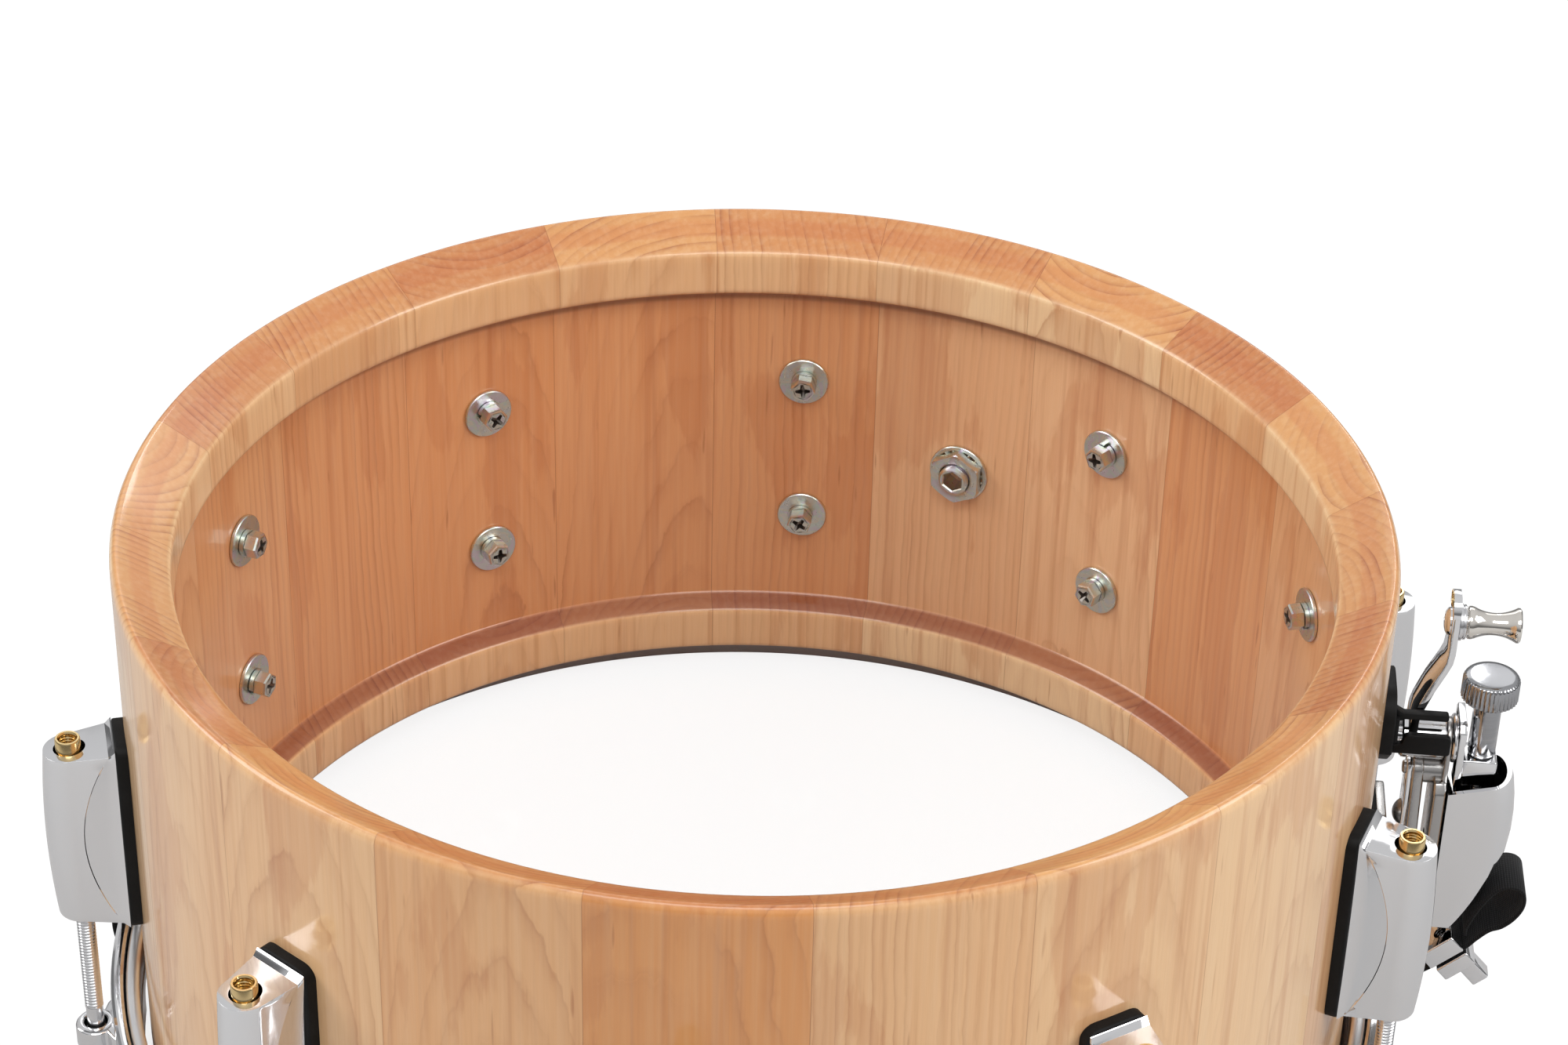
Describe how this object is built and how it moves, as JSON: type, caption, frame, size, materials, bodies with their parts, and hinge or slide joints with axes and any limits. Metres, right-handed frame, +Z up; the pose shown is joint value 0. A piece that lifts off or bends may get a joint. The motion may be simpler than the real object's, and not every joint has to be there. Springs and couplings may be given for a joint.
{
  "type": "snare drum",
  "caption": "Stave-wood snare drum shell with lugs, tension rods, die-cast snare-side hoop and head, snare wires, butt plate and a lever strainer; batter side open.",
  "frame": {"origin": "on the shell's axis, in the plane of the snare-side hoop's rim that the drum rests on", "axes": "+Z up towards the open batter-side bearing edge, +X radially out through the strainer, +Y completes a right-handed frame"},
  "size_m": [0.4229, 0.3998, 0.1731],
  "materials": {
    "maple": "satin lacquer, pale vertical staves, end grain on the bearing edges",
    "chrome": "polished plating",
    "hoop_chrome": "polished plating on die-cast metal",
    "cast_metal": "plated casting, slightly rough",
    "zinc_steel": "bright zinc plate with a faint rainbow tint",
    "black_rubber": "matt",
    "black_plastic": "satin",
    "black_webbing": "ribbed woven ribbon",
    "brass": "satin turned",
    "aluminium_ring": "satin",
    "clear_film": "clear and glossy",
    "steel_wire": "bright",
    "nickel": "polished nickel"
  },
  "bodies": {
    "drum": {"stave_shell": "maple", "lug_gaskets": "black_rubber", "swivel_nuts": "brass", "lug_bolts": "zinc_steel", "lug_lock_washers": "zinc_steel", "lug_flat_washers": "zinc_steel", "fitting_bolts": "zinc_steel", "fitting_washers": "zinc_steel", "vent_stud": "zinc_steel", "vent_nut": "zinc_steel", "vent_tooth_washer": "zinc_steel", "snare_side_hoop": "hoop_chrome", "snare_head": "clear_film", "flesh_hoop": "aluminium_ring", "rod_washers": "chrome", "snare_wires": "steel_wire", "snare_end_plates": "nickel", "butt_gasket": "black_rubber", "butt_plate": "chrome", "butt_jaw": "chrome", "butt_keys": "chrome", "butt_strap": "black_webbing", "snare_strap": "black_webbing", "strainer_gasket": "black_rubber", "strainer_frame": "cast_metal", "detent_plate": "chrome", "frame_rivets": "zinc_steel", "lever_bracket": "black_plastic", "lug_casing_01": "chrome", "lug_casing_02": "chrome", "lug_casing_03": "chrome", "lug_casing_04": "chrome", "lug_casing_05": "chrome", "lug_casing_06": "chrome", "lug_casing_07": "chrome", "lug_casing_08": "chrome", "lug_casing_09": "chrome", "lug_casing_10": "chrome"},
    "throw_lever": {"throw_lever": "chrome", "lever_shaft": "zinc_steel", "lever_rivet": "chrome", "lever_washer": "chrome"},
    "lever_knob": {"lever_knob": "nickel"},
    "carriage": {"carriage_housing": "chrome", "adjuster_block": "chrome"},
    "tension_knob": {"tension_knob": "chrome"},
    "snare_clamp": {"clamp_slider": "chrome", "clamp_jaw": "chrome", "clamp_key": "chrome", "strap_loop": "black_webbing"},
    "tension_rod_01": {"tension_rod_01": "chrome"},
    "tension_rod_02": {"tension_rod_02": "chrome"},
    "tension_rod_03": {"tension_rod_03": "chrome"},
    "tension_rod_04": {"tension_rod_04": "chrome"},
    "tension_rod_05": {"tension_rod_05": "chrome"},
    "tension_rod_06": {"tension_rod_06": "chrome"},
    "tension_rod_07": {"tension_rod_07": "chrome"},
    "tension_rod_08": {"tension_rod_08": "chrome"},
    "tension_rod_09": {"tension_rod_09": "chrome"},
    "tension_rod_10": {"tension_rod_10": "chrome"}
  },
  "joints": [
    {"name": "throw_lever_turn", "type": "hinge", "parent": "drum", "child": "throw_lever", "pos_m": [0.19, 0, 0.1124], "axis": [-1, 0, 0], "range_deg": [0, 90]},
    {"name": "lever_knob_spin", "type": "hinge", "parent": "throw_lever", "child": "lever_knob", "pos_m": [0.204, 0, 0.1515], "axis": [1, 0, 0], "continuous": true},
    {"name": "carriage_slide", "type": "slide", "parent": "drum", "child": "carriage", "axis": [0, 0, 1], "range_m": [-0.0072, 0], "deforming": ["snare_strap"]},
    {"name": "tension_knob_turn", "type": "hinge", "parent": "carriage", "child": "tension_knob", "pos_m": [0.2056, 0, 0.118], "axis": [0, 0, 1], "range_deg": [-1080, 1080]},
    {"name": "clamp_slide", "type": "slide", "parent": "carriage", "child": "snare_clamp", "axis": [0, 0, 1], "range_m": [-0.0025, 0.0025]},
    {"name": "tension_rod_turn_01", "type": "hinge", "parent": "drum", "child": "tension_rod_01", "pos_m": [0.18222, 0.05921, 0.04], "axis": [0, 0, 1], "continuous": true},
    {"name": "tension_rod_turn_02", "type": "hinge", "parent": "drum", "child": "tension_rod_02", "pos_m": [0.11262, 0.15501, 0.04], "axis": [0, 0, 1], "continuous": true},
    {"name": "tension_rod_turn_03", "type": "hinge", "parent": "drum", "child": "tension_rod_03", "pos_m": [0, 0.1916, 0.04], "axis": [0, 0, 1], "continuous": true},
    {"name": "tension_rod_turn_04", "type": "hinge", "parent": "drum", "child": "tension_rod_04", "pos_m": [-0.11262, 0.15501, 0.04], "axis": [0, 0, 1], "continuous": true},
    {"name": "tension_rod_turn_05", "type": "hinge", "parent": "drum", "child": "tension_rod_05", "pos_m": [-0.18222, 0.05921, 0.04], "axis": [0, 0, 1], "continuous": true},
    {"name": "tension_rod_turn_06", "type": "hinge", "parent": "drum", "child": "tension_rod_06", "pos_m": [-0.18222, -0.05921, 0.04], "axis": [0, 0, 1], "continuous": true},
    {"name": "tension_rod_turn_07", "type": "hinge", "parent": "drum", "child": "tension_rod_07", "pos_m": [-0.11262, -0.15501, 0.04], "axis": [0, 0, 1], "continuous": true},
    {"name": "tension_rod_turn_08", "type": "hinge", "parent": "drum", "child": "tension_rod_08", "pos_m": [0, -0.1916, 0.04], "axis": [0, 0, 1], "continuous": true},
    {"name": "tension_rod_turn_09", "type": "hinge", "parent": "drum", "child": "tension_rod_09", "pos_m": [0.11262, -0.15501, 0.04], "axis": [0, 0, 1], "continuous": true},
    {"name": "tension_rod_turn_10", "type": "hinge", "parent": "drum", "child": "tension_rod_10", "pos_m": [0.18222, -0.05921, 0.04], "axis": [0, 0, 1], "continuous": true}
  ],
  "couplings": [
    {"joint": "carriage_slide", "follows": "throw_lever_turn", "m_per_rad": -0.0045016},
    {"joint": "clamp_slide", "follows": "tension_knob_turn", "m_per_rad": 0.00012732}
  ]
}
